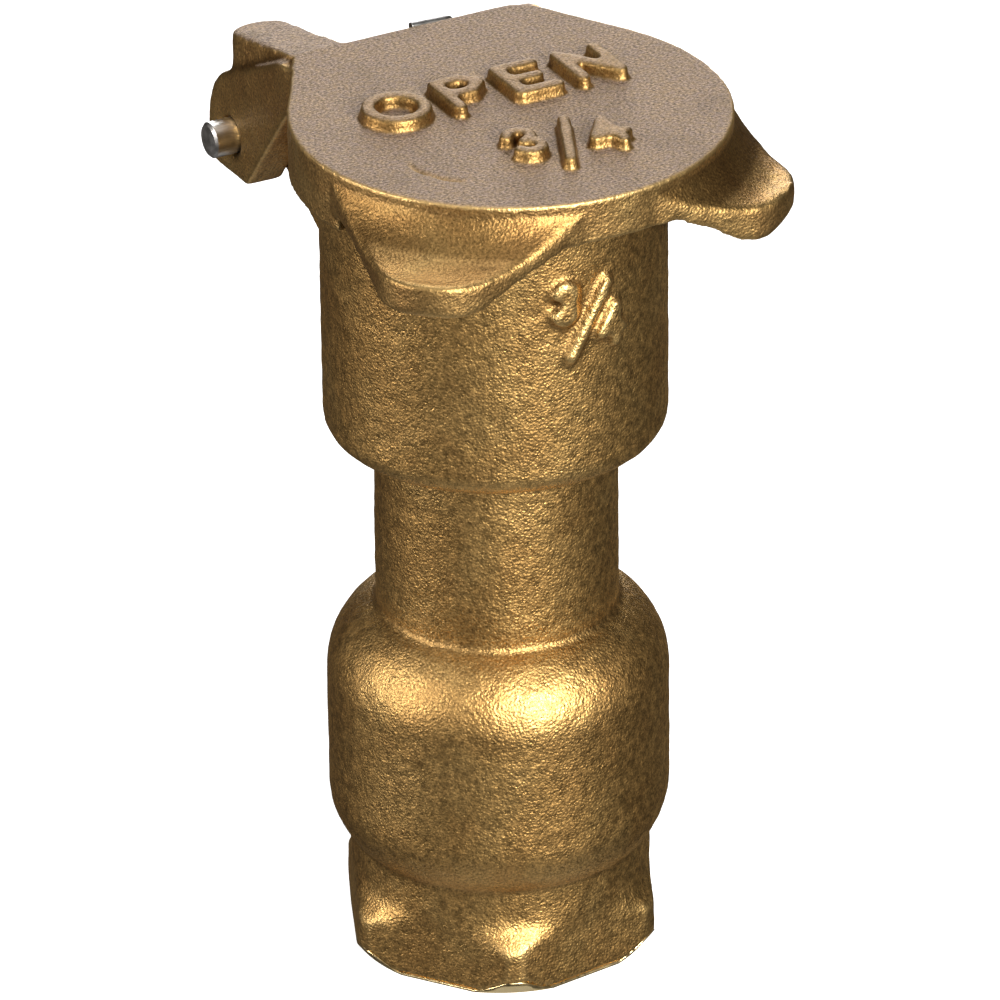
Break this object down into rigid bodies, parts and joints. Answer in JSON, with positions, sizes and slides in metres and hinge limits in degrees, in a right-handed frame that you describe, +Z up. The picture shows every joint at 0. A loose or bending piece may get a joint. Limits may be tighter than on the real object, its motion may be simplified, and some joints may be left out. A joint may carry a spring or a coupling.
{
  "type": "quick coupling valve",
  "caption": "Cast brass quick coupling valve: hexagonal threaded inlet, bulging chamber, neck and key cup with a sprung hinged cover; a sprung valve inside closes on its seat.",
  "frame": {"origin": "centre of the inlet face at the hexagonal end, on the valve axis", "axes": "+Z up the valve axis toward the key cup and cover; +Y toward the hinge; the hinge pin lies along X"},
  "size_m": [0.0531, 0.0717, 0.1096],
  "materials": {
    "body_brass": "sand cast, satin",
    "cover_brass": "sand cast, matte",
    "turned_brass": "turned",
    "pin_steel": "drawn, bright",
    "spring_steel": "drawn wire and stamped rings",
    "seal_rubber": "moulded"
  },
  "bodies": {
    "valve_body": {"body": "body_brass", "hinge_pin": "pin_steel", "pin_clip": "spring_steel", "cover_spring": "spring_steel", "backup_washer": "turned_brass", "key_seal": "seal_rubber", "seal_ring": "spring_steel", "spring_guide": "turned_brass", "guide_ring": "spring_steel", "valve_spring": "spring_steel"},
    "cover": {"cover": "cover_brass"},
    "valve": {"valve_disc": "turned_brass", "seat_washer": "seal_rubber", "washer_plate": "turned_brass", "valve_stem": "turned_brass", "stem_nut": "turned_brass"}
  },
  "joints": [
    {"name": "cover_hinge", "type": "hinge", "parent": "valve_body", "child": "cover", "pos_m": [0, 0.0368, 0.0925], "axis": [-1, 0, 0], "range_deg": [0, 115], "stiffness_Nm_per_rad": 0.06, "springref_deg": -34.38, "deforming": ["cover_spring"]},
    {"name": "valve_slide", "type": "slide", "parent": "valve_body", "child": "valve", "axis": [0, 0, -1], "range_m": [0, 0.007], "stiffness_N_per_m": 1800, "springref_m": -0.004, "deforming": ["valve_spring"]}
  ]
}
